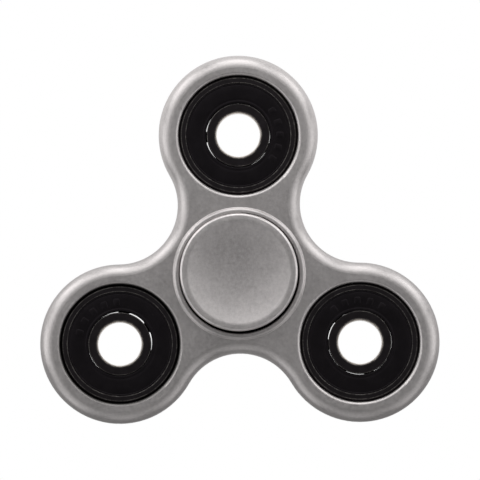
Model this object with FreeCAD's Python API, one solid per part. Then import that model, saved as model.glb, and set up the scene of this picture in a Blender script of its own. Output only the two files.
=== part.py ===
import FreeCAD, Part
import math
import os

# Three-lobed fidget spinner. A moulded body carries four 8 x 22 x 7 mm ball bearings.
# The centre bearing is open and is held between two press-in finger caps, so that the body spins
# round them. The three lobe bearings are rubber sealed and act as rim weights; their inner rings
# turn freely too. Units are millimetres. The origin is the middle of the centre bearing, +Z is the
# spin axis and +Y points at lobe 1.

Vec = FreeCAD.Vector
ORIGIN = Vec(0, 0, 0)
X_AXIS = Vec(1, 0, 0)
Z_AXIS = Vec(0, 0, 1)

# ---- Driving dimensions: body -----------------------------------------------------------------
LOBE_ANGLES = (90.0, 210.0, 330.0)
LOBE_PITCH = 25.5             # spin axis to lobe bearing axis
LOBE_RADIUS = 14.65           # outer edge of a lobe
BODY_THICKNESS = 8.0
EDGE_ROUND = 2.2              # big round along the outer edge, both faces
BORE_ROUND = 0.6              # lip round of each lobe bore
PARTING_NOTCH = 0.06          # mould parting line at mid height
BOSS_HEIGHT = 0.4             # raised ring round the centre bearing
BOSS_LAND_RADIUS = 11.6       # outer edge of the ring's flat top
BOSS_FOOT_RADIUS = 12.3       # where the ring's side meets the face
BOSS_SHOULDER_SHARE = 0.7     # part of the side that bulges; the rest is the hollow foot
BOSS_BORE_ROUND = 0.3

# ---- Driving dimensions: ball bearing ---------------------------------------------------------
BEARING_BORE_RADIUS = 4.0
BEARING_RADIUS = 11.0
BEARING_WIDTH = 7.0
BORE_CHAMFER = 0.3            # inner ring, at the bore
OUTER_CHAMFER = 0.45          # outer ring, at its outside
BALL_RADIUS = 1.9845          # 5/32 inch ball
BALL_COUNT = 7
PITCH_RADIUS = 7.5            # circle of ball centres
RACE_RADIUS = 2.06            # groove section, 52 % of the ball diameter
RACE_CLEARANCE = 0.03         # ball to groove bottom, each side
INNER_LAND_RADIUS = 5.8       # outside of the inner ring beside its groove
OUTER_LAND_RADIUS = 9.2       # inside of the outer ring beside its groove
LAND_CHAMFER = 0.12
SEAL_RECESS_RADIUS = 9.55     # mouth of the outer ring, in front of the seal
SEAL_GROOVE_RADIUS = 9.85     # undercut that the seal snaps into
SEAL_GROOVE_TOP = 0.25        # depth of the undercut below the ring face, near side
SEAL_GROOVE_FLOOR = 0.72      # and far side

# ---- Driving dimensions: cage, rivets, seals --------------------------------------------------
CAGE_SHEET = 0.3
CAGE_INNER_RADIUS = 6.75
CAGE_OUTER_RADIUS = 8.25
POCKET_CLEARANCE = 0.1
RIVET_RADIUS = 0.4
RIVET_HEAD_RADIUS = 0.62
RIVET_HEAD_HEIGHT = 0.25
SEAL_LIP_RADIUS = 6.04        # inner edge, clear of the inner ring
SEAL_INSET = 0.14             # seal face below the ring face
SEAL_LIP_WIDTH = 0.4
SEAL_LIP_STEP = 0.1
SEAL_LINE_RADIUS = 9.25       # moulded line inside the bead
SEAL_LINE_WIDTH = 0.14
SEAL_LINE_DEPTH = 0.08
SEAL_BEAD_CLEARANCE = 0.02
MARK_COUNT = 5                # plain raised pads on each seal
MARK_STEP_ANGLE = 17.5
MARK_RADIUS = 7.65
MARK_LENGTH = 1.4             # along the radius
MARK_WIDTH = 1.15
MARK_HEIGHT = 0.08
MARK_CORNER = 0.3

# ---- Driving dimensions: finger caps ----------------------------------------------------------
CAP_RADIUS = 10.85
CAP_UNDERSIDE = 4.85          # height above the bearing middle
CAP_RIM_HEIGHT = 6.95
CAP_RIM_ROUND = 0.5
CAP_LOWER_ROUND = 0.3
DISH_RADIUS = 9.6
DISH_DEPTH = 0.95
DISH_EDGE_ROUND = 3.0
SHOULDER_RADIUS = 5.4         # rests on the inner ring's face only
STEM_CHAMFER = 0.4
STEM_END = 0.2                # stem tip to bearing middle
CORE_RADIUS = 2.4             # moulding core up the stem
CORE_TOP = 4.75

# Each bearing: name, angle of its first ball, angle of the marks on its top seal.
LOBE_BEARINGS = (
    ("lobe1", 28.0, 0.0),
    ("lobe2", 31.0, 129.0),
    ("lobe3", 29.0, 93.0),
)
CENTER_FIRST_BALL = 12.0

# ---- Worked-out sizes -------------------------------------------------------------------------
HALF_BODY = BODY_THICKNESS / 2
HALF_WIDTH = BEARING_WIDTH / 2
BALL_STEP = 360.0 / BALL_COUNT
POCKET_RADIUS = BALL_RADIUS + POCKET_CLEARANCE
TOLERANCE = 1e-4


# ---- Helpers ----------------------------------------------------------------------------------
def polar(radius, angle, z=0.0):
    a = math.radians(angle)
    return Vec(radius * math.cos(a), radius * math.sin(a), z)


def turned(start, *steps):
    """Solid of revolution about Z. A step is the next (r, z), or (via, end) for an arc."""
    edges = []
    here = Vec(start[0], 0, start[1])
    for step in steps + (start,):
        if isinstance(step[0], tuple):
            via, end = (Vec(r, 0, z) for r, z in step)
            edges.append(Part.Arc(here, via, end).toShape())
        else:
            end = Vec(step[0], 0, step[1])
            edges.append(Part.LineSegment(here, end).toShape())
        here = end
    return Part.Face(Part.Wire(edges)).revolve(ORIGIN, Z_AXIS, 360)


def circles(solid, radius, z):
    """Edges of the solid that are circles of this radius, at this height, about a Z axis."""
    found = []
    for edge in solid.Edges:
        if edge.Degenerated or not isinstance(edge.Curve, Part.Circle):
            continue
        circle = edge.Curve
        if abs(circle.Radius - radius) < TOLERANCE and abs(circle.Center.z - z) < TOLERANCE:
            found.append(edge)
    return found


def tube(inner, outer, low, high):
    wall = Part.makeCylinder(outer, high - low, Vec(0, 0, low))
    return wall.cut(Part.makeCylinder(inner, high - low, Vec(0, 0, low)))


def dome_rise(rim_radius, height):
    """Rise of a spherical dome above its rim plane, half way out along the radius."""
    sphere = (rim_radius ** 2 + height ** 2) / (2 * height)
    return math.sqrt(sphere ** 2 - (rim_radius / 2) ** 2) - (sphere - height)


def flipped(shape):
    """The same part turned over, for the lower side."""
    copy = shape.copy()
    copy.rotate(ORIGIN, X_AXIS, 180)
    return copy


def around_pitch(shape, first_angle):
    """Copies of a shape built on +X, one for each ball position."""
    copies = []
    for i in range(BALL_COUNT):
        copy = shape.copy()
        copy.rotate(ORIGIN, Z_AXIS, first_angle + i * BALL_STEP)
        copies.append(copy)
    return copies


def save(shape, node):
    shape.exportStep(os.path.join("parts", node + ".step"))


# ---- Body -------------------------------------------------------------------------------------
def body_outline():
    """Lobe arcs and the hollow arcs between them. All six centres lie on the pitch circle, 60
    degrees apart, so a lobe and its neighbouring hollow touch when their radii add to the pitch."""
    hollow_radius = LOBE_PITCH - LOBE_RADIUS
    edges = []
    for angle in LOBE_ANGLES:
        lobe = polar(LOBE_PITCH, angle)
        before = polar(LOBE_PITCH, angle - 60)
        after = polar(LOBE_PITCH, angle + 60)
        beyond = polar(LOBE_PITCH, angle + 120)
        share = LOBE_RADIUS / LOBE_PITCH
        start = lobe + (before - lobe) * share
        end = lobe + (after - lobe) * share
        next_start = beyond + (after - beyond) * share
        tip = polar(LOBE_PITCH + LOBE_RADIUS, angle)
        waist = polar(LOBE_PITCH - hollow_radius, angle + 60)
        edges.append(Part.Arc(start, tip, end).toShape())
        edges.append(Part.Arc(end, waist, next_start).toShape())
    return Part.Wire(edges)


def boss_ring():
    """Raised ring round the centre bore. Its side is an S curve: a rounded shoulder runs smoothly
    into a tighter hollow foot."""
    top = HALF_BODY + BOSS_HEIGHT
    width = BOSS_FOOT_RADIUS - BOSS_LAND_RADIUS
    turn = 2 * math.atan2(BOSS_HEIGHT, width)
    middle_r = BOSS_LAND_RADIUS + BOSS_SHOULDER_SHARE * width
    middle_z = top - BOSS_SHOULDER_SHARE * BOSS_HEIGHT
    shoulder_bend = BOSS_SHOULDER_SHARE * width / math.sin(turn)
    foot_bend = (1 - BOSS_SHOULDER_SHARE) * width / math.sin(turn)
    half_run = math.sin(turn / 2)
    half_drop = 1 - math.cos(turn / 2)
    shoulder_via = (BOSS_LAND_RADIUS + shoulder_bend * half_run, top - shoulder_bend * half_drop)
    foot_via = (BOSS_FOOT_RADIUS - foot_bend * half_run, HALF_BODY + foot_bend * half_drop)
    ring = turned(
        (BEARING_RADIUS, 0),
        (BEARING_RADIUS, top),
        (BOSS_LAND_RADIUS, top),
        (shoulder_via, (middle_r, middle_z)),
        (foot_via, (BOSS_FOOT_RADIUS, HALF_BODY)),
        (BOSS_FOOT_RADIUS, 0),
    )
    return ring.makeFillet(BOSS_BORE_ROUND, circles(ring, BEARING_RADIUS, top))


def spinner_body():
    plate = Part.Face(body_outline()).extrude(Vec(0, 0, HALF_BODY))
    top_edges = [e for e in plate.Edges if abs(e.BoundBox.ZMin - HALF_BODY) < TOLERANCE]
    plate = plate.makeFillet(EDGE_ROUND, top_edges)
    low_edges = [e for e in plate.Edges if abs(e.BoundBox.ZMax) < TOLERANCE]
    plate = plate.makeChamfer(PARTING_NOTCH, low_edges)
    for angle in LOBE_ANGLES:
        plate = plate.cut(Part.makeCylinder(BEARING_RADIUS, HALF_BODY, polar(LOBE_PITCH, angle)))
    plate = plate.makeFillet(BORE_ROUND, circles(plate, BEARING_RADIUS, HALF_BODY))
    plate = plate.cut(Part.makeCylinder(BEARING_RADIUS, HALF_BODY))
    upper = plate.fuse(boss_ring()).removeSplitter()
    lower = upper.mirror(ORIGIN, Z_AXIS)
    return upper.fuse(lower).removeSplitter().Solids[0]


# ---- Bearing pieces, built about the origin ---------------------------------------------------
def groove_half_width(land_radius, groove_center):
    return math.sqrt(RACE_RADIUS ** 2 - (groove_center - land_radius) ** 2)


def inner_ring():
    bottom = PITCH_RADIUS - BALL_RADIUS - RACE_CLEARANCE
    half = groove_half_width(INNER_LAND_RADIUS, bottom + RACE_RADIUS)
    return turned(
        (BEARING_BORE_RADIUS + BORE_CHAMFER, -HALF_WIDTH),
        (INNER_LAND_RADIUS - LAND_CHAMFER, -HALF_WIDTH),
        (INNER_LAND_RADIUS, -HALF_WIDTH + LAND_CHAMFER),
        (INNER_LAND_RADIUS, -half),
        ((bottom, 0), (INNER_LAND_RADIUS, half)),
        (INNER_LAND_RADIUS, HALF_WIDTH - LAND_CHAMFER),
        (INNER_LAND_RADIUS - LAND_CHAMFER, HALF_WIDTH),
        (BEARING_BORE_RADIUS + BORE_CHAMFER, HALF_WIDTH),
        (BEARING_BORE_RADIUS, HALF_WIDTH - BORE_CHAMFER),
        (BEARING_BORE_RADIUS, -HALF_WIDTH + BORE_CHAMFER),
    )


def outer_ring():
    """Outer ring with a ball groove and, at each mouth, the undercut that a seal snaps into."""
    bottom = PITCH_RADIUS + BALL_RADIUS + RACE_CLEARANCE
    half = groove_half_width(OUTER_LAND_RADIUS, bottom - RACE_RADIUS)
    near = HALF_WIDTH - SEAL_GROOVE_TOP
    far = HALF_WIDTH - SEAL_GROOVE_FLOOR
    return turned(
        (BEARING_RADIUS - OUTER_CHAMFER, -HALF_WIDTH),
        (BEARING_RADIUS, -HALF_WIDTH + OUTER_CHAMFER),
        (BEARING_RADIUS, HALF_WIDTH - OUTER_CHAMFER),
        (BEARING_RADIUS - OUTER_CHAMFER, HALF_WIDTH),
        (SEAL_RECESS_RADIUS + LAND_CHAMFER, HALF_WIDTH),
        (SEAL_RECESS_RADIUS, HALF_WIDTH - LAND_CHAMFER),
        (SEAL_RECESS_RADIUS, near),
        (SEAL_GROOVE_RADIUS, near),
        (SEAL_GROOVE_RADIUS, far),
        (OUTER_LAND_RADIUS, far),
        (OUTER_LAND_RADIUS, half),
        ((bottom, 0), (OUTER_LAND_RADIUS, -half)),
        (OUTER_LAND_RADIUS, -far),
        (SEAL_GROOVE_RADIUS, -far),
        (SEAL_GROOVE_RADIUS, -near),
        (SEAL_RECESS_RADIUS, -near),
        (SEAL_RECESS_RADIUS, -HALF_WIDTH + LAND_CHAMFER),
        (SEAL_RECESS_RADIUS + LAND_CHAMFER, -HALF_WIDTH),
    )


def cage_half(first_angle):
    """Upper half of the pressed ribbon cage: a flat ring that domes over each ball."""
    height = POCKET_RADIUS + 2 * CAGE_SHEET
    band = tube(CAGE_INNER_RADIUS, CAGE_OUTER_RADIUS, 0, height)
    slab = Part.makeCylinder(CAGE_OUTER_RADIUS + CAGE_SHEET, CAGE_SHEET)
    on_pitch = Vec(PITCH_RADIUS, 0, 0)
    domes = around_pitch(Part.makeSphere(POCKET_RADIUS + CAGE_SHEET, on_pitch), first_angle)
    pockets = around_pitch(Part.makeSphere(POCKET_RADIUS, on_pitch), first_angle)
    hole = Part.makeCylinder(RIVET_RADIUS, CAGE_SHEET, on_pitch)
    holes = around_pitch(hole, first_angle + BALL_STEP / 2)
    return band.common(slab.fuse(domes)).cut(pockets).cut(holes).Solids[0]


def cage_rivets(first_angle):
    """Seven rivets with domed heads that clamp the two cage halves together."""
    head_top = CAGE_SHEET + RIVET_HEAD_HEIGHT
    via_r = RIVET_HEAD_RADIUS / 2
    via_z = CAGE_SHEET + dome_rise(RIVET_HEAD_RADIUS, RIVET_HEAD_HEIGHT)
    rivet = turned(
        (0, -head_top),
        ((via_r, -via_z), (RIVET_HEAD_RADIUS, -CAGE_SHEET)),
        (RIVET_RADIUS, -CAGE_SHEET),
        (RIVET_RADIUS, CAGE_SHEET),
        (RIVET_HEAD_RADIUS, CAGE_SHEET),
        ((via_r, via_z), (0, head_top)),
    )
    rivet.translate(Vec(PITCH_RADIUS, 0, 0))
    return Part.makeCompound(around_pitch(rivet, first_angle + BALL_STEP / 2))


def seal(mark_angle):
    """Rubber-covered washer: a bead in the outer ring's undercut, a moulded line, a thin inner lip
    that stops short of the inner ring, and plain raised pads."""
    face = HALF_WIDTH - SEAL_INSET
    back = HALF_WIDTH - SEAL_GROOVE_FLOOR + SEAL_BEAD_CLEARANCE
    middle = (face + back) / 2
    bead_radius = SEAL_GROOVE_RADIUS - SEAL_BEAD_CLEARANCE
    bead_top = HALF_WIDTH - SEAL_GROOVE_TOP - SEAL_BEAD_CLEARANCE
    mouth = SEAL_RECESS_RADIUS - SEAL_BEAD_CLEARANCE
    line_inner = SEAL_LINE_RADIUS - SEAL_LINE_WIDTH / 2
    line_outer = SEAL_LINE_RADIUS + SEAL_LINE_WIDTH / 2
    washer = turned(
        (SEAL_LIP_RADIUS, back + SEAL_LIP_STEP),
        (SEAL_LIP_RADIUS, face - SEAL_LIP_STEP),
        (SEAL_LIP_RADIUS + SEAL_LIP_WIDTH, face),
        (line_inner, face),
        (SEAL_LINE_RADIUS, face - SEAL_LINE_DEPTH),
        (line_outer, face),
        (mouth, face),
        (mouth, bead_top),
        (bead_radius, bead_top),
        (bead_radius, back),
        (SEAL_LIP_RADIUS + SEAL_LIP_WIDTH, back),
    )
    pad_corner = Vec(MARK_RADIUS - MARK_LENGTH / 2, -MARK_WIDTH / 2, middle)
    pad = Part.makeBox(MARK_LENGTH, MARK_WIDTH, face + MARK_HEIGHT - middle, pad_corner)
    upright = [e for e in pad.Edges if e.BoundBox.ZLength > MARK_HEIGHT]
    pad = pad.makeFillet(MARK_CORNER, upright)
    for i in range(MARK_COUNT):
        copy = pad.copy()
        copy.rotate(ORIGIN, Z_AXIS, mark_angle + (i - (MARK_COUNT - 1) / 2) * MARK_STEP_ANGLE)
        washer = washer.fuse(copy)
    return washer.removeSplitter().Solids[0]


def save_bearing(prefix, place, first_angle, mark_angle=None):
    """Saves every piece of one bearing. A bearing with no mark angle is open, with no seals."""
    upper_cage = cage_half(first_angle)
    pieces = {
        "outer_ring": outer_ring(),
        "inner_ring": inner_ring(),
        "cage_upper": upper_cage,
        "cage_lower": upper_cage.mirror(ORIGIN, Z_AXIS),
        "cage_rivets": cage_rivets(first_angle),
    }
    balls = around_pitch(Part.makeSphere(BALL_RADIUS, Vec(PITCH_RADIUS, 0, 0)), first_angle)
    for number, ball in enumerate(balls, 1):
        pieces["ball_%d" % number] = ball
    if mark_angle is not None:
        pieces["seal_top"] = seal(mark_angle)
        pieces["seal_bottom"] = flipped(seal(mark_angle))
    for name, shape in pieces.items():
        shape.translate(place)
        save(shape, prefix + "_" + name)


# ---- Finger caps ------------------------------------------------------------------------------
def finger_cap():
    """Dished disc with a shoulder that sits on the inner ring and a hollow stem pressed into it."""
    via = (DISH_RADIUS / 2, CAP_RIM_HEIGHT - dome_rise(DISH_RADIUS, DISH_DEPTH))
    cap = turned(
        (0, CAP_RIM_HEIGHT - DISH_DEPTH),
        (via, (DISH_RADIUS, CAP_RIM_HEIGHT)),
        (CAP_RADIUS, CAP_RIM_HEIGHT),
        (CAP_RADIUS, CAP_UNDERSIDE),
        (SHOULDER_RADIUS, CAP_UNDERSIDE),
        (SHOULDER_RADIUS, HALF_WIDTH),
        (BEARING_BORE_RADIUS, HALF_WIDTH),
        (BEARING_BORE_RADIUS, STEM_END + STEM_CHAMFER),
        (BEARING_BORE_RADIUS - STEM_CHAMFER, STEM_END),
        (CORE_RADIUS, STEM_END),
        (CORE_RADIUS, CORE_TOP),
        (0, CORE_TOP),
    )
    cap = cap.makeFillet(CAP_RIM_ROUND, circles(cap, CAP_RADIUS, CAP_RIM_HEIGHT))
    cap = cap.makeFillet(CAP_LOWER_ROUND, circles(cap, CAP_RADIUS, CAP_UNDERSIDE))
    return cap.makeFillet(DISH_EDGE_ROUND, circles(cap, DISH_RADIUS, CAP_RIM_HEIGHT))


# ---- Build ------------------------------------------------------------------------------------
os.makedirs("parts", exist_ok=True)
save(spinner_body(), "spinner_body")
save(finger_cap(), "top_cap")
save(flipped(finger_cap()), "bottom_cap")
save_bearing("center", ORIGIN, CENTER_FIRST_BALL)
for (prefix, first_angle, mark_angle), lobe_angle in zip(LOBE_BEARINGS, LOBE_ANGLES):
    save_bearing(prefix, polar(LOBE_PITCH, lobe_angle), first_angle, mark_angle)
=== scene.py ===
import math

import bmesh
import bpy
from mathutils import Matrix, Vector


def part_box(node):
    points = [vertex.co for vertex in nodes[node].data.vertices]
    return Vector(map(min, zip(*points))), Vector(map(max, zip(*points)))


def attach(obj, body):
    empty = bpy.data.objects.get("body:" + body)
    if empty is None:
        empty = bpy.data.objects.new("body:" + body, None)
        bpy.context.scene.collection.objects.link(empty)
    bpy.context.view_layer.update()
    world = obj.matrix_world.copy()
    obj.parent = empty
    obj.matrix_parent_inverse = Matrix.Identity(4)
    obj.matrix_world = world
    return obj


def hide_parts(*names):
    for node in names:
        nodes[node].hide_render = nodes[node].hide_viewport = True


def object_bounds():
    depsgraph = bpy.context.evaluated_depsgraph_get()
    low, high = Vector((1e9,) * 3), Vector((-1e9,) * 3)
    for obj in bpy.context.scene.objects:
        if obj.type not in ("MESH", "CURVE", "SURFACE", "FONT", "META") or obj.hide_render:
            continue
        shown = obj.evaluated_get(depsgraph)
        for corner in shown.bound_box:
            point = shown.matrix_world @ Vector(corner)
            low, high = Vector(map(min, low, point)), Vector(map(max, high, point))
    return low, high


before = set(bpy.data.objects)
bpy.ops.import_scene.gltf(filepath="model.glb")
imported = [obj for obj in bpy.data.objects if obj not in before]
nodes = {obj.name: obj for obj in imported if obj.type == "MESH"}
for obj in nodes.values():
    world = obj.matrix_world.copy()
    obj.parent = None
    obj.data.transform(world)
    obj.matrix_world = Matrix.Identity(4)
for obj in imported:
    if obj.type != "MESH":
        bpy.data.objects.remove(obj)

# Looks for a three-lobed fidget spinner. The body and the bearings' steel pieces keep their CAD
# shapes and get materials here. The rubber seals and the finger caps are rebuilt as finer lathed
# pieces. Sizes are in metres; MM turns millimetres into metres. Places come from the boxes of the
# CAD nodes. +Z is the spin axis and +Y points at lobe 1.

MM = 0.001
cad_low, cad_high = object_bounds()
LOBES = ("lobe1", "lobe2", "lobe3")
BEARINGS = ("center",) + LOBES


def node_center(name):
    low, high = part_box(name)
    return (low + high) / 2


# ---- Node graphs ------------------------------------------------------------------------------
class Graph:
    """The node graph of one material, built round its Principled shader."""

    def __init__(self, name):
        self.material = bpy.data.materials.new(name)
        self.material.use_nodes = True
        self.tree = self.material.node_tree
        self.shader = self.tree.nodes["Principled BSDF"]
        self.place = self.add("TexCoord").outputs["Object"]

    def add(self, kind, inputs=None, **settings):
        node = self.tree.nodes.new("ShaderNode" + kind)
        for key, value in settings.items():
            setattr(node, key, value)
        for key, value in (inputs or {}).items():
            self.feed(node.inputs[key], value)
        return node

    def feed(self, socket, value):
        if isinstance(value, bpy.types.NodeSocket):
            self.tree.links.new(value, socket)
        else:
            socket.default_value = value

    def set(self, **inputs):
        """Shader inputs by name, with _ for a space."""
        for key, value in inputs.items():
            self.feed(self.shader.inputs[key.replace("_", " ")], value)

    def math(self, operation, a, b=0.0):
        return self.add("Math", {0: a, 1: b}, operation=operation).outputs[0]

    def vector(self, operation, a, b=(0.0, 0.0, 0.0)):
        node = self.add("VectorMath", {0: a, 1: b}, operation=operation)
        return node.outputs["Value" if operation == "LENGTH" else "Vector"]

    def remap(self, value, low, high, to_low, to_high, smooth=False):
        """Takes low to to_low and high to to_high, and stays at the nearer one outside them."""
        kind = "SMOOTHSTEP" if smooth else "LINEAR"
        inputs = {"Value": value, "From Min": low, "From Max": high, "To Min": to_low,
                  "To Max": to_high}
        return self.add("MapRange", inputs, interpolation_type=kind).outputs["Result"]

    def noise(self, size, detail=2.0, place=None, rough=0.5):
        """Noise in 0 to 1 whose features are about this size."""
        inputs = {"Vector": place or self.place, "Scale": 1.0 / size, "Detail": detail,
                  "Roughness": rough}
        return self.add("TexNoise", inputs).outputs["Fac"]

    def cells(self, size, output):
        """Small cells of about this size: each one's random Color, or the Distance to its middle."""
        return self.add("TexVoronoi", {"Vector": self.place, "Scale": 1.0 / size}).outputs[output]

    def stretched(self, scale, angle):
        """The place turned about Z and scaled along each axis, for marks with a direction."""
        inputs = {"Vector": self.place, "Rotation": (0.0, 0.0, angle), "Scale": scale}
        return self.add("Mapping", inputs).outputs["Vector"]

    def mix(self, share, a, b):
        """Colour a where the share is 0, colour b where it is 1."""
        node = self.add("Mix", data_type="RGBA")
        self.feed(node.inputs[0], share)
        self.feed(node.inputs[6], a)
        self.feed(node.inputs[7], b)
        return node.outputs[2]

    def bump(self, height, depth, normal=None):
        """Surface normal for a height in 0 to 1 that stands this deep."""
        inputs = {"Height": height, "Distance": depth, "Strength": 1.0}
        if normal is not None:
            inputs["Normal"] = normal
        return self.add("Bump", inputs).outputs["Normal"]

    def occlusion(self, reach):
        """1 in the open, towards 0 in tight corners."""
        return self.add("AmbientOcclusion", {"Distance": reach}, samples=4).outputs["AO"]

    def turning(self, center):
        """Radius, place in the lathe profile, and cutting direction, about an upright axis."""
        offset = self.vector("SUBTRACT", self.place, tuple(center))
        flat = self.vector("MULTIPLY", offset, (1.0, 1.0, 0.0))
        radius = self.vector("LENGTH", flat)
        height = self.add("SeparateXYZ", {0: offset}).outputs["Z"]
        profile = self.add("CombineXYZ", {0: radius, 1: height, 2: 0.0}).outputs[0]
        along = self.vector("CROSS_PRODUCT", (0.0, 0.0, 1.0), self.vector("NORMALIZE", flat))
        turn = self.add("VectorTransform", {0: along}, vector_type="VECTOR",
                        convert_from="OBJECT", convert_to="WORLD")
        return radius, profile, turn.outputs[0]


def grey(value, warmth=0.0):
    """A grey, made warmer by a small share."""
    return (value * (1 + warmth), value, value * (1 - warmth), 1.0)


# ---- Silver paint -----------------------------------------------------------------------------
PAINT_TONE = 0.565
PAINT_METALLIC = 0.86
PAINT_COAT = 0.12
COAT_ROUGHNESS = 0.22
BODY_ROUGHNESS = 0.36
CAP_ROUGHNESS = 0.35
CAP_BRIGHTER = 1.25            # the caps' paint is a little lighter than the body's
FLAKE_SIZE = 0.09 * MM
FLAKE_TILT = 0.035             # how far a flake leans out of the surface, as a share
FLAKE_BRIGHTER = 1.3
BLOTCH_DEPTH = 0.09            # lighter and darker blotches, as a share of the tone
CLOUD_SIZE = 7 * MM            # the blotches are faint clouds
CLOUD_SHARE = 0.25
GRAIN_SIZE = 0.55 * MM         # and a stronger fine grain
CORNER_SHADE_REACH = 0.5 * MM         # painted shade darkens corners tighter than this
CORNER_SHADE_SHARE = 0.45
PEEL = ((0.8 * MM, 2.0, 0.0028 * MM), (0.2 * MM, 3.0, 0.0020 * MM))    # size, detail, depth
SCRATCHES = ((0.35, 0.016 * MM), (-0.9, 0.013 * MM), (1.9, 0.015 * MM))   # direction, width
SCRATCH_LENGTH = 9 * MM
SCRATCH_DEPTH = 0.0008 * MM
SCRATCH_SMOOTHER = 0.03
FINGER_SMOOTHER = 0.012        # fingers wear the middle of the caps this much smoother
SEAT_SHADE_LOBE = "lobe2"      # painted shade: a dark band round the edge of this lobe's seat
SEAT_SHADE_SHIFT = 0.12 * MM   # the shaded band is a little wider on the -Y side
SEAT_SHADE_FULL = 11.10 * MM   # darkest up to this radius
SEAT_SHADE_END = 11.60 * MM
SEAT_SHADE_SHARE = 0.85


def paint_tint(value):
    """The faintly warm grey of the paint."""
    return (1.05 * value, value, 0.99 * value, 1.0)


def dark_tint(value):
    """The faintly purple grey of the black steel and rubber."""
    return (1.08 * value, 0.94 * value, 1.06 * value, 1.0)


def paint_color(g, tone, flake_color, cloud, grain, seat_shade_center):
    """Blotchy grey with lighter flakes, and painted shade darkening tight corners. With a centre,
    painted shade darkens a band about it."""
    blotches = g.math("ADD", g.math("MULTIPLY", cloud, CLOUD_SHARE),
                      g.math("MULTIPLY", grain, 1 - CLOUD_SHARE))
    base = g.mix(g.remap(blotches, 0.3, 0.7, 0.0, 1.0), paint_tint((1 - BLOTCH_DEPTH) * tone),
                 paint_tint((1 + BLOTCH_DEPTH) * tone))
    flake = g.add("SeparateColor", {0: flake_color}).outputs[0]
    base = g.mix(g.remap(flake, 0.0, 1.0, 0.0, 0.2), base, paint_tint(FLAKE_BRIGHTER * tone))
    # painted shade: occlusion darkens the paint towards dark grey in tight corners
    corner_shade = g.remap(g.occlusion(CORNER_SHADE_REACH), 0.25, 0.8, CORNER_SHADE_SHARE, 0.0)
    base = g.mix(corner_shade, base, grey(0.12, 0.06))
    if seat_shade_center is None:
        return base
    # painted shade: a dark band round the seat's edge, about the shifted centre
    radius = g.turning(seat_shade_center)[0]
    seat_shade = g.remap(radius, SEAT_SHADE_FULL, SEAT_SHADE_END, SEAT_SHADE_SHARE, 0.0, smooth=True)
    return g.mix(seat_shade, base, grey(0.05, 0.06))


def hairline_scratches(g):
    """1 on a few long hairline scratches, 0 elsewhere."""
    scratches = 0.0
    for direction, width in SCRATCHES:
        scale = (1 / SCRATCH_LENGTH, 1 / width / 4, 1 / SCRATCH_LENGTH)
        lines = g.noise(1.0, 2.0, g.stretched(scale, direction))
        scratches = g.math("MAXIMUM", g.remap(lines, 0.735, 0.76, 0.0, 1.0), scratches)
    return scratches


def finger_wear(g, radius):
    """How much smoother the middle is worn, fading unevenly to nothing at this radius."""
    reach = g.vector("LENGTH", g.vector("MULTIPLY", g.place, (1.0, 1.0, 0.0)))
    smear = g.math("MULTIPLY", g.noise(3 * MM, 2.0), 0.3 * radius)
    return g.remap(g.math("ADD", reach, smear), 0.4 * radius, radius, FINGER_SMOOTHER, 0.0,
                   smooth=True)


def silver_paint(name, tone, satin, worn_radius=None, seat_shade_center=None):
    """Satin metallic paint on moulded plastic: fine flakes, a faint orange peel, hairline scratches
    and painted shade in tight corners. It may be worn smoother out to a radius, or darkened by
    painted shade round a centre."""
    g = Graph(name)
    flake_color = g.cells(FLAKE_SIZE, "Color")
    cloud = g.noise(CLOUD_SIZE, 3.0)
    grain = g.noise(GRAIN_SIZE, 4.0)
    base = paint_color(g, tone, flake_color, cloud, grain, seat_shade_center)

    scratches = hairline_scratches(g)
    roughness = g.remap(grain, 0.3, 0.7, satin - 0.03, satin + 0.03)
    roughness = g.math("ADD", roughness, g.remap(cloud, 0.3, 0.7, -0.02, 0.02))
    roughness = g.math("SUBTRACT", roughness, g.math("MULTIPLY", scratches, SCRATCH_SMOOTHER))
    if worn_radius is not None:
        roughness = g.math("SUBTRACT", roughness, finger_wear(g, worn_radius))

    normal = None
    for size, detail, depth in PEEL:
        normal = g.bump(g.noise(size, detail), depth, normal)
    normal = g.bump(scratches, -SCRATCH_DEPTH, normal)
    tilt = g.vector("SUBTRACT", flake_color, (0.5, 0.5, 0.5))
    tilt = g.vector("MULTIPLY", tilt, (FLAKE_TILT,) * 3)
    normal = g.vector("NORMALIZE", g.vector("ADD", normal, tilt))
    g.set(Base_Color=base, Metallic=PAINT_METALLIC, Roughness=roughness, Normal=normal,
          Coat_Weight=PAINT_COAT, Coat_Roughness=COAT_ROUGHNESS)
    return g.material


# ---- Steel and rubber -------------------------------------------------------------------------
# Edges of the rings where the black is rubbed off to lighter steel, which also paints in the edge
# highlights: radius, spread and strength of the rubbing.
RUBBED_AND_HIGHLIGHT_EDGES = (
    (4.15 * MM, 0.32 * MM, 1.0),
    (5.70 * MM, 0.09 * MM, 0.65),
    (9.68 * MM, 0.09 * MM, 0.65),
    (10.48 * MM, 0.09 * MM, 0.65),
)
BRIGHT_BORE_EDGE = 4.15 * MM     # painted highlight: the bore and most of its chamfer are near-white steel, so the bright bore reads wider
BRIGHT_BORE_FADE = 0.07 * MM
GRINDING_SIZE = 0.035 * MM
GRINDING_DEPTH = 0.0012 * MM
CAGE_TONE = 0.42
RIVET_TONE = 0.55
DUST_SPACING = 0.9 * MM
RUBBER_SHINE = 0.135


def edge_rub_and_highlight(g, radius):
    """How far the black is rubbed off, which also paints in edge highlights: patchily, in glints
    along the rubbed edges.
    """
    rub_and_highlight = 0.0
    for edge, spread, strength in RUBBED_AND_HIGHLIGHT_EDGES:
        away = g.math("ABSOLUTE", g.math("SUBTRACT", radius, edge))
        rub_and_highlight = g.math("MAXIMUM", g.remap(away, 0.2 * spread, spread, strength, 0.0), rub_and_highlight)
    glints = g.math("MULTIPLY", g.noise(1.5 * MM, 3.0), g.noise(0.25 * MM, 2.0))
    return g.math("MULTIPLY", rub_and_highlight, g.remap(glints, 0.18, 0.36, 0.15, 1.0))


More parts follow.
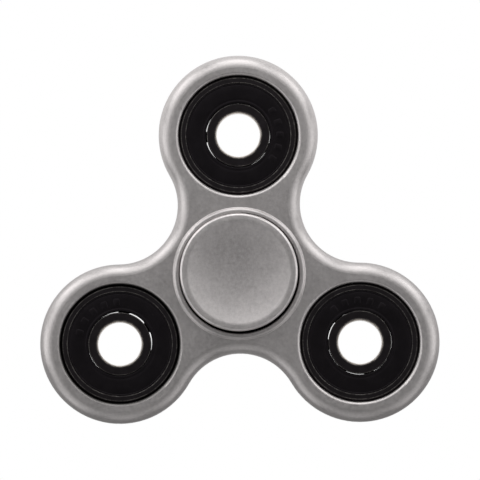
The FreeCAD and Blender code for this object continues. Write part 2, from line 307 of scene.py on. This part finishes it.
def black_steel(name, center):
    """Black-oxide bearing steel, ground in circles, with lighter rubbed edges that also paint in
    edge highlights, and a painted highlight of near-white steel in the bore."""
    g = Graph(name)
    radius, profile, along = g.turning(center)
    lines = g.noise(GRINDING_SIZE, 3.0, profile, 0.7)
    patches = g.noise(1.6 * MM, 3.0)
    base = g.mix(g.remap(patches, 0.35, 0.7, 0.0, 1.0), dark_tint(0.027), dark_tint(0.036))
    base = g.mix(g.remap(lines, 0.45, 0.8, 0.0, 0.5), base, grey(0.07, 0.12))
    # lighter rubbed edges: partly real wear, partly painted highlight
    rub_and_highlight = edge_rub_and_highlight(g, radius)
    base = g.mix(rub_and_highlight, base, grey(0.45, 0.06))
    # painted highlight: near-white steel on the bore and most of its chamfer
    bright_bore = g.remap(radius, BRIGHT_BORE_EDGE - BRIGHT_BORE_FADE, BRIGHT_BORE_EDGE + BRIGHT_BORE_FADE,
                   1.0, 0.0)
    base = g.mix(bright_bore, base, grey(0.90, 0.05))
    roughness = g.math("ADD", g.remap(lines, 0.3, 0.7, 0.30, 0.42), g.math("MULTIPLY", rub_and_highlight, -0.06))
    normal = g.bump(lines, GRINDING_DEPTH)
    g.set(Base_Color=base, Metallic=1.0, Roughness=roughness, Normal=normal, Anisotropic=0.55,
          Tangent=along)
    return g.material


def ball_steel():
    """Polished bearing balls with faint contact bands and an oil film."""
    g = Graph("ball_steel_polished")
    haze = g.noise(1.2 * MM, 3.0)
    bands = g.noise(1.0, 3.0, g.stretched((200.0, 200.0, 1 / (0.05 * MM)), 0.0))
    base = g.mix(g.remap(haze, 0.35, 0.65, 0.0, 1.0), grey(0.62, 0.01), grey(0.52, 0.05))
    roughness = g.math("ADD", g.remap(haze, 0.3, 0.7, 0.06, 0.14),
                       g.remap(bands, 0.5, 0.8, 0.0, 0.06))
    g.set(Base_Color=base, Metallic=1.0, Roughness=roughness,
          Normal=g.bump(bands, 0.0004 * MM), Coat_Weight=0.3, Coat_Roughness=0.05)
    return g.material


def sheet_steel(name, tone):
    """Pressed sheet steel with a rolled grain and oil stains."""
    g = Graph(name)
    grain = g.noise(1.0, 4.0, g.stretched((1 / (0.9 * MM), 1 / (0.03 * MM), 1 / (0.9 * MM)), 0.6))
    stains = g.noise(1.3 * MM, 4.0)
    base = g.mix(g.remap(stains, 0.4, 0.65, 0.0, 1.0), grey(tone, 0.03), grey(0.6 * tone, 0.14))
    base = g.mix(g.remap(grain, 0.4, 0.75, 0.0, 0.3), base, grey(1.2 * tone, 0.0))
    g.set(Base_Color=base, Metallic=1.0, Roughness=g.remap(grain, 0.3, 0.7, 0.26, 0.42),
          Normal=g.bump(grain, 0.0015 * MM))
    return g.material


def seal_rubber(name, center):
    """Black moulded rubber: a fine spark-eroded grain, faint turned rings and specks of dust."""
    g = Graph(name)
    profile = g.turning(center)[1]
    grain = g.noise(0.06 * MM, 3.0)
    rings = g.noise(0.12 * MM, 2.0, profile)
    cloud = g.noise(2.2 * MM, 3.0)
    base = g.mix(g.remap(cloud, 0.35, 0.7, 0.0, 1.0), dark_tint(0.0030), dark_tint(0.0052))
    dust = g.remap(g.cells(DUST_SPACING, "Distance"), 0.03, 0.055, 1.0, 0.0)
    dust = g.math("MULTIPLY", dust, g.remap(cloud, 0.5, 0.6, 0.0, 0.8))
    base = g.mix(dust, base, grey(0.06, 0.05))
    normal = g.bump(rings, 0.003 * MM)
    normal = g.bump(grain, 0.002 * MM, normal)
    g.set(Base_Color=base, Roughness=g.remap(grain, 0.3, 0.7, 0.36, 0.48), Normal=normal,
          Specular_IOR_Level=RUBBER_SHINE, Specular_Tint=dark_tint(1.0))
    return g.material


# ---- Rubber seals -----------------------------------------------------------------------------
SEAL_SEGMENTS = 240
SEAL_SINK = 0.08 * MM          # the face lies this far inside its CAD node, under the pads
LAND_RADIUS = 5.80 * MM        # outside of the inner ring, under the lip
# Each lobe's lip: mean clearance to the inner ring, and how it sits a little off centre and a
# little out of round, as rubber does. Sides and crests are directions in degrees.
LIP_SHAPES = {
    "lobe1": {"gap": 0.097 * MM, "shift": 0.043 * MM, "side": 215,
              "waves": 3, "height": 0.032 * MM, "crest": 64},
    "lobe2": {"gap": 0.095 * MM, "shift": 0.100 * MM, "side": 62,
              "waves": 2, "height": 0.050 * MM, "crest": 62},
    "lobe3": {"gap": 0.078 * MM, "shift": 0.036 * MM, "side": 205,
              "waves": 3, "height": 0.040 * MM, "crest": 145},
}
# Each seal has a row of plain raised pads. The row's middle lies in this direction, in degrees.
MARKS = {"lobe1": 0.0, "lobe2": 129.0, "lobe3": 93.0}
MARK_COUNT = 5
MARK_STEP = 17.5               # degrees from one pad to the next
MARK_RADIUS = 7.65 * MM
MARK_LENGTH = 1.4 * MM         # outwards
MARK_WIDTH = 1.15 * MM         # round the seal
MARK_CORNER = 0.3 * MM
MARK_HEIGHT = 0.075 * MM
MARK_SOFT_EDGE = 0.16 * MM
MARK_ROOT = 0.05 * MM          # how deep a pad reaches into the seal


def lip_radius(lobe, angle):
    """Radius of a lobe's seal lip at this angle in radians."""
    shape = LIP_SHAPES[lobe]
    shift = shape["shift"] * math.cos(angle - math.radians(shape["side"]))
    wave = shape["height"] * math.cos(shape["waves"] * (angle - math.radians(shape["crest"])))
    return LAND_RADIUS + shape["gap"] + shift + wave


def seal_profile(back, face, outside, lip):
    """Closed cross-section (radius, height) from the inner lip outwards: lip, ridge, dished web,
    moulded line, rim, and the bead that snaps into the ring's undercut."""
    mouth = outside - 0.30 * MM
    bead_top = face - 0.13 * MM
    return [
        (lip, back + 0.20 * MM),
        (lip, face - 0.12 * MM),
        (lip + 0.06 * MM, face - 0.05 * MM),
        (lip + 0.18 * MM, face - 0.01 * MM),
        (lip + 0.34 * MM, face),
        (lip + 0.46 * MM, face - 0.02 * MM),
        (lip + 0.54 * MM, face - 0.06 * MM),
        (lip + 0.66 * MM, face - 0.06 * MM),
        (lip + 0.76 * MM, face - 0.03 * MM),
        (lip + 1.10 * MM, face - 0.015 * MM),
        (lip + 2.20 * MM, face - 0.01 * MM),
        (outside - 0.72 * MM, face - 0.015 * MM),
        (outside - 0.66 * MM, face - 0.03 * MM),
        (outside - 0.60 * MM, face - 0.09 * MM),
        (outside - 0.54 * MM, face - 0.03 * MM),
        (outside - 0.48 * MM, face - 0.005 * MM),
        (mouth - 0.04 * MM, face),
        (mouth, face - 0.04 * MM),
        (mouth, bead_top),
        (outside - 0.06 * MM, bead_top),
        (outside, bead_top - 0.06 * MM),
        (outside, back + 0.06 * MM),
        (outside - 0.06 * MM, back),
        (lip + 0.50 * MM, back),
        (lip + 0.30 * MM, back + 0.10 * MM),
    ]


def lathe(mesh, profile_at, segments):
    """Adds a solid to a bmesh: at each angle stands the closed cross-section for it. A point on
    the axis is one shared vertex."""
    rings = []
    poles = {}
    for i in range(segments):
        a = 2 * math.pi * i / segments
        ring = []
        for j, (r, z) in enumerate(profile_at(a)):
            if r > 0:
                ring.append(mesh.verts.new((r * math.cos(a), r * math.sin(a), z)))
            else:
                if j not in poles:
                    poles[j] = mesh.verts.new((0, 0, z))
                ring.append(poles[j])
        rings.append(ring)
    for i, ring in enumerate(rings):
        following = rings[(i + 1) % segments]
        for j in range(len(ring)):
            k = (j + 1) % len(ring)
            corners = list(dict.fromkeys((ring[j], following[j], following[k], ring[k])))
            if len(corners) > 2:
                mesh.faces.new(corners)


def finish_mesh(mesh, name, material, sharp_angle=50):
    """Turns a bmesh into a smooth-shaded piece with this material."""
    bmesh.ops.recalc_face_normals(mesh, faces=mesh.faces)
    for face in mesh.faces:
        face.smooth = True
    data = bpy.data.meshes.new(name)
    mesh.to_mesh(data)
    mesh.free()
    data.set_sharp_from_angle(angle=math.radians(sharp_angle))
    data.materials.append(material)
    piece = bpy.data.objects.new(name, data)
    bpy.context.scene.collection.objects.link(piece)
    return piece


def rounded_box_outline(length, width, corner, steps=6):
    """Points round a rectangle with rounded corners, counter-clockwise."""
    points = []
    for quarter, (sx, sy) in enumerate(((1, 1), (-1, 1), (-1, -1), (1, -1))):
        middle = (sx * (length / 2 - corner), sy * (width / 2 - corner))
        for i in range(steps + 1):
            a = math.pi / 2 * (quarter + i / steps)
            points.append((middle[0] + corner * math.cos(a), middle[1] + corner * math.sin(a)))
    return points


def pad(mesh, face, angle):
    """Adds one plain raised pad with soft edges, standing on the seal's face at this angle."""
    top = face + MARK_HEIGHT
    layers = [
        (0.0, face - MARK_ROOT),
        (0.0, face + 0.05 * MARK_HEIGHT),
        (0.60 * MARK_SOFT_EDGE, face + 0.75 * MARK_HEIGHT),
        (MARK_SOFT_EDGE, top),
    ]
    a = math.radians(angle)
    out, side = Vector((math.cos(a), math.sin(a), 0)), Vector((-math.sin(a), math.cos(a), 0))
    rings = []
    for inset, z in layers:
        outline = rounded_box_outline(MARK_LENGTH - 2 * inset, MARK_WIDTH - 2 * inset,
                                      MARK_CORNER - inset)
        rings.append([mesh.verts.new(out * (MARK_RADIUS + x) + side * y + Vector((0, 0, z)))
                      for x, y in outline])
    count = len(rings[0])
    for lower, upper in zip(rings, rings[1:]):
        for i in range(count):
            k = (i + 1) % count
            mesh.faces.new((lower[i], lower[k], upper[k], upper[i]))
    mesh.faces.new(rings[-1])
    mesh.faces.new(list(reversed(rings[0])))


def build_seal(lobe, side, center, material):
    """One of a lobe's seals, in the box of its CAD node. The bottom one is turned upside down."""
    node = lobe + "_seal_" + side
    turned_over = -1 if side == "bottom" else 1
    low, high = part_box(node)
    outside = (high.x - low.x) / 2
    back = min(abs(low.z), abs(high.z))
    face = max(abs(low.z), abs(high.z)) - SEAL_SINK
    mesh = bmesh.new()

    def profile_at(angle):
        return seal_profile(back, face, outside, lip_radius(lobe, turned_over * angle))

    lathe(mesh, profile_at, SEAL_SEGMENTS)
    for i in range(MARK_COUNT):
        pad(mesh, face, MARKS[lobe] + (i - (MARK_COUNT - 1) / 2) * MARK_STEP)
    if turned_over < 0:
        bmesh.ops.rotate(mesh, verts=mesh.verts, matrix=Matrix.Rotation(math.pi, 3, "X"))
    bmesh.ops.translate(mesh, verts=mesh.verts, vec=(center.x, center.y, 0))
    seal = finish_mesh(mesh, node + "_molded", material)
    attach(seal, "spinner")
    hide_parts(node)


# ---- Finger caps ------------------------------------------------------------------------------
CAP_SEGMENTS = 288
DISH_RADIUS = 9.6 * MM
DISH_DEPTH = 0.95 * MM
DISH_EDGE_ROUND = 3.0 * MM
RIM_ROUND = 0.5 * MM
UNDERSIDE_ROUND = 0.3 * MM
UNDERSIDE = 4.85 * MM          # heights are measured from the middle of the spinner
SHOULDER_RADIUS = 5.4 * MM
BEARING_FACE = 3.5 * MM
STEM_RADIUS = 4.0 * MM
STEM_CHAMFER = 0.4 * MM
CORE_RADIUS = 2.4 * MM         # the hollow in the stem
CORE_TOP = 4.75 * MM
CAP_SHIFT = 0.25 * MM          # each cap's disc sits this far off its stem
CAP_SHIFT_SIDES = {"top_cap": 111, "bottom_cap": 60}   # and this way, in degrees


def arc(center, radius, start, end, steps):
    """Points (r, z) along an arc between two angles in radians, both ends included."""
    angles = [start + (end - start) * i / steps for i in range(steps + 1)]
    return [(center[0] + radius * math.cos(a), center[1] + radius * math.sin(a)) for a in angles]


def cap_profile(outside, top, stem_end):
    """Closed cross-section of a cap: dish, rounded dish edge, flat rim, side, underside, shoulder
    and hollow stem."""
    dish_bend = (DISH_RADIUS ** 2 + DISH_DEPTH ** 2) / (2 * DISH_DEPTH)
    dish_middle = top - DISH_DEPTH + dish_bend
    edge_middle = top - DISH_EDGE_ROUND
    slope = math.acos((dish_middle - edge_middle) / (dish_bend + DISH_EDGE_ROUND))
    down = -math.pi / 2
    quarter = math.pi / 2
    edge_center = ((dish_bend + DISH_EDGE_ROUND) * math.sin(slope), edge_middle)
    points = arc((0, dish_middle), dish_bend, down, down + slope, 40)[1:]
    points += arc(edge_center, DISH_EDGE_ROUND, quarter + slope, quarter, 10)[1:]
    points += arc((outside - RIM_ROUND, top - RIM_ROUND), RIM_ROUND, quarter, 0, 10)
    points += arc((outside - UNDERSIDE_ROUND, UNDERSIDE + UNDERSIDE_ROUND), UNDERSIDE_ROUND,
                  0, -quarter, 6)
    return [(0, top - DISH_DEPTH)] + points + [
        (SHOULDER_RADIUS, UNDERSIDE),
        (SHOULDER_RADIUS, BEARING_FACE),
        (STEM_RADIUS, BEARING_FACE),
        (STEM_RADIUS, stem_end + STEM_CHAMFER),
        (STEM_RADIUS - STEM_CHAMFER, stem_end),
        (CORE_RADIUS, stem_end),
        (CORE_RADIUS, CORE_TOP),
        (0, CORE_TOP),
    ]


def build_cap(node, material):
    """A finger cap in the box of its CAD node, with its disc a little off its stem."""
    low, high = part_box(node)
    top = max(abs(low.z), abs(high.z))
    stem_end = min(abs(low.z), abs(high.z))
    profile = cap_profile(high.x, top, stem_end)
    mesh = bmesh.new()
    lathe(mesh, lambda angle: profile, CAP_SEGMENTS)
    side = math.radians(CAP_SHIFT_SIDES[node])
    disc = [v for v in mesh.verts if v.co.z > (CORE_TOP + UNDERSIDE) / 2]
    bmesh.ops.translate(mesh, verts=disc, vec=(CAP_SHIFT * math.cos(side),
                                               CAP_SHIFT * math.sin(side), 0))
    if low.z < 0:
        bmesh.ops.rotate(mesh, verts=mesh.verts, matrix=Matrix.Rotation(math.pi, 3, "X"))
    cap = finish_mesh(mesh, node + "_molded", material, sharp_angle=30)
    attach(cap, "hub")
    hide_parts(node)


# ---- Put materials on the CAD nodes -----------------------------------------------------------
def give(node, material):
    """Makes this the CAD node's only material."""
    slots = nodes[node].data.materials
    slots.clear()
    slots.append(material)


# painted shade: centre of the dark band round one lobe's seat
seat_shade_center = node_center(SEAT_SHADE_LOBE + "_outer_ring") - Vector((0, SEAT_SHADE_SHIFT, 0))
give("spinner_body", silver_paint("body_silver_paint", PAINT_TONE, BODY_ROUGHNESS,
                                  seat_shade_center=seat_shade_center))
cap_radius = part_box("top_cap")[1].x
cap_paint = silver_paint("cap_silver_paint", CAP_BRIGHTER * PAINT_TONE, CAP_ROUGHNESS, cap_radius)
build_cap("top_cap", cap_paint)
build_cap("bottom_cap", cap_paint)
balls = ball_steel()
cage = sheet_steel("cage_sheet_steel", CAGE_TONE)
rivets = sheet_steel("rivet_wire_steel", RIVET_TONE)
for bearing in BEARINGS:
    center = node_center(bearing + "_outer_ring")
    steel = black_steel(bearing + "_black_steel", center)
    give(bearing + "_outer_ring", steel)
    give(bearing + "_inner_ring", steel)
    give(bearing + "_cage_upper", cage)
    give(bearing + "_cage_lower", cage)
    give(bearing + "_cage_rivets", rivets)
    for node in nodes:
        if node.startswith(bearing + "_ball_"):
            give(node, balls)
for lobe in LOBES:
    center = node_center(lobe + "_outer_ring")
    rubber = seal_rubber(lobe + "_seal_rubber", center)
    build_seal(lobe, "top", center, rubber)
    build_seal(lobe, "bottom", center, rubber)


# ---- Stage ------------------------------------------------------------------------------------
FLOOR_HALF = 1.5
FLOOR_CELLS = 8
FLOOR_MOTTLE = 50 * MM
FLOOR_GREY = 0.15              # what the floor sends back of the light that falls on it
FLOOR_GLOW = 0.12              # even glow of the floor, as the object sees it
FLOOR_GLOW_BACK = 0.67         # extra glow on the +Y side, where the strongest light stands
GLOW_REACH = 40 * MM           # the extra glow grows from nothing at -Y to full at +Y over this
CONTACT_REACH = 18 * MM        # size of the contact shadow
CONTACT_DEPTH = 0.75           # darkness of the contact shadow, seen from low down
LIGHT_DISTANCE = 0.4
LIGHT_SIZE = 0.26
LIGHT_COUNT = 8                # softboxes in one row
LIGHT_ROWS = ((10, 0.224), (28, 0.188), (46, 0.140), (64, 0.031))   # elevation, watts
STRONG_SIDE = 96.0             # direction of the strongest softboxes
WEAK_SHARE = 0.22              # what the softboxes opposite give, as a share of the strongest


def floor_material():
    """Pale floor. The camera sees it white, with a soft contact shadow from low angles only, and
    sees through it from below. The object sees a grey floor that glows towards +Y and is white
    straight down, which the bores' walls show at a grazing angle."""
    g = Graph("pale_floor")
    mottle = g.noise(FLOOR_MOTTLE, 3.0)
    across = g.add("SeparateXYZ", {0: g.place}).outputs["Y"]
    geometry = g.add("NewGeometry").outputs
    steepness = g.add("SeparateXYZ", {0: geometry["Incoming"]}).outputs["Z"]
    ramp = g.remap(across, -GLOW_REACH, GLOW_REACH, FLOOR_GLOW, FLOOR_GLOW + FLOOR_GLOW_BACK)
    straight_down = g.remap(steepness, 0.95, 0.99, 0.0, 1.0)
    ramp = g.math("MAXIMUM", ramp, straight_down)
    g.set(Base_Color=g.mix(mottle, grey(FLOOR_GREY), grey(1.05 * FLOOR_GREY)), Roughness=0.8,
          Specular_IOR_Level=0.0, Emission_Color=grey(1.0), Emission_Strength=ramp)
    low_view = g.remap(steepness, 0.6, 0.9, 1.0, 0.0, smooth=True)
    covered = g.remap(g.occlusion(CONTACT_REACH), 0.2, 1.0, CONTACT_DEPTH, 0.0)
    shade = g.math("SUBTRACT", 1.0, g.math("MULTIPLY", covered, low_view))
    glow = g.add("Emission", {"Color": (1.0, 1.0, 1.0, 1.0), "Strength": shade}).outputs[0]
    clear = g.add("BsdfTransparent").outputs[0]
    view = g.add("MixShader", {0: geometry["Backfacing"], 1: glow, 2: clear})
    seen = g.add("LightPath").outputs["Is Camera Ray"]
    blend = g.add("MixShader", {0: seen, 1: g.shader.outputs[0], 2: view.outputs[0]})
    output = g.tree.nodes["Material Output"]
    g.tree.links.new(blend.outputs[0], output.inputs["Surface"])
    return g.material


def build_floor():
    mesh = bmesh.new()
    bmesh.ops.create_grid(mesh, x_segments=FLOOR_CELLS, y_segments=FLOOR_CELLS, size=FLOOR_HALF)
    bmesh.ops.translate(mesh, verts=mesh.verts, vec=(0, 0, cad_low.z))
    data = bpy.data.meshes.new("floor")
    mesh.to_mesh(data)
    mesh.free()
    data.materials.append(floor_material())
    floor = bpy.data.objects.new("floor", data)
    bpy.context.scene.collection.objects.link(floor)


def build_lights():
    """Rows of round softboxes all round the object, strongest from +Y and fading towards -Y."""
    for elevation, power in LIGHT_ROWS:
        for i in range(LIGHT_COUNT):
            azimuth = 360.0 / LIGHT_COUNT * i
            facing = (1 + math.cos(math.radians(azimuth - STRONG_SIDE))) / 2
            data = bpy.data.lights.new("softbox_%d_%d" % (elevation, azimuth), "AREA")
            data.shape = "DISK"
            data.size = LIGHT_SIZE
            data.energy = power * (WEAK_SHARE + (1 - WEAK_SHARE) * facing)
            lamp = bpy.data.objects.new(data.name, data)
            bpy.context.scene.collection.objects.link(lamp)
            a, e = math.radians(azimuth), math.radians(elevation)
            away = Vector((math.cos(a), math.sin(a), 0)) * math.cos(e)
            away.z = math.sin(e)
            lamp.location = away * LIGHT_DISTANCE
            lamp.rotation_euler = away.to_track_quat("Z", "Y").to_euler()
            lamp.visible_camera = False


def build_backdrop():
    """White behind everything for the camera, black for the object."""
    world = bpy.data.worlds.new("studio")
    bpy.context.scene.world = world
    world.use_nodes = True
    tree = world.node_tree
    tree.nodes.clear()
    backdrop = tree.nodes.new("ShaderNodeBackground")
    backdrop.inputs["Color"].default_value = (1.0, 1.0, 1.0, 1.0)
    seen = tree.nodes.new("ShaderNodeLightPath").outputs["Is Camera Ray"]
    tree.links.new(seen, backdrop.inputs["Strength"])
    output = tree.nodes.new("ShaderNodeOutputWorld")
    tree.links.new(backdrop.outputs[0], output.inputs[0])


# ---- Camera -----------------------------------------------------------------------------------
VIEW_WIDTH = 88.25 * MM        # width of the picture at the height of the body's top face
VIEW_CENTER_X = 0.17 * MM
VIEW_CENTER_Y = 6.18 * MM
VIEW_TILT = math.radians(1.1)
VIEW_LEAN = math.radians(270)  # the camera leans this way from upright
VIEW_ROLL = math.radians(0.45)
CAMERA_DISTANCE = 4.0
CAMERA_FAR = 10


def build_camera():
    """A long lens, almost straight above."""
    body_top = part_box("spinner_body")[1].z
    target = Vector((VIEW_CENTER_X, VIEW_CENTER_Y, body_top))
    away = Vector((math.cos(VIEW_LEAN), math.sin(VIEW_LEAN), 0)) * math.sin(VIEW_TILT)
    away.z = math.cos(VIEW_TILT)
    right = Vector((math.cos(VIEW_ROLL), -math.sin(VIEW_ROLL), 0))
    up = away.cross(right).normalized()
    right = up.cross(away).normalized()
    data = bpy.data.cameras.new("camera")
    data.lens = data.sensor_width * CAMERA_DISTANCE / VIEW_WIDTH
    data.clip_end = CAMERA_FAR
    camera = bpy.data.objects.new("camera", data)
    bpy.context.scene.collection.objects.link(camera)
    camera.matrix_world = Matrix((
        (right.x, up.x, away.x, target.x + away.x * CAMERA_DISTANCE),
        (right.y, up.y, away.y, target.y + away.y * CAMERA_DISTANCE),
        (right.z, up.z, away.z, target.z + away.z * CAMERA_DISTANCE),
        (0, 0, 0, 1),
    ))
    bpy.context.scene.camera = camera


build_floor()
build_lights()
build_backdrop()
build_camera()
bpy.context.scene.view_settings.view_transform = "Standard"
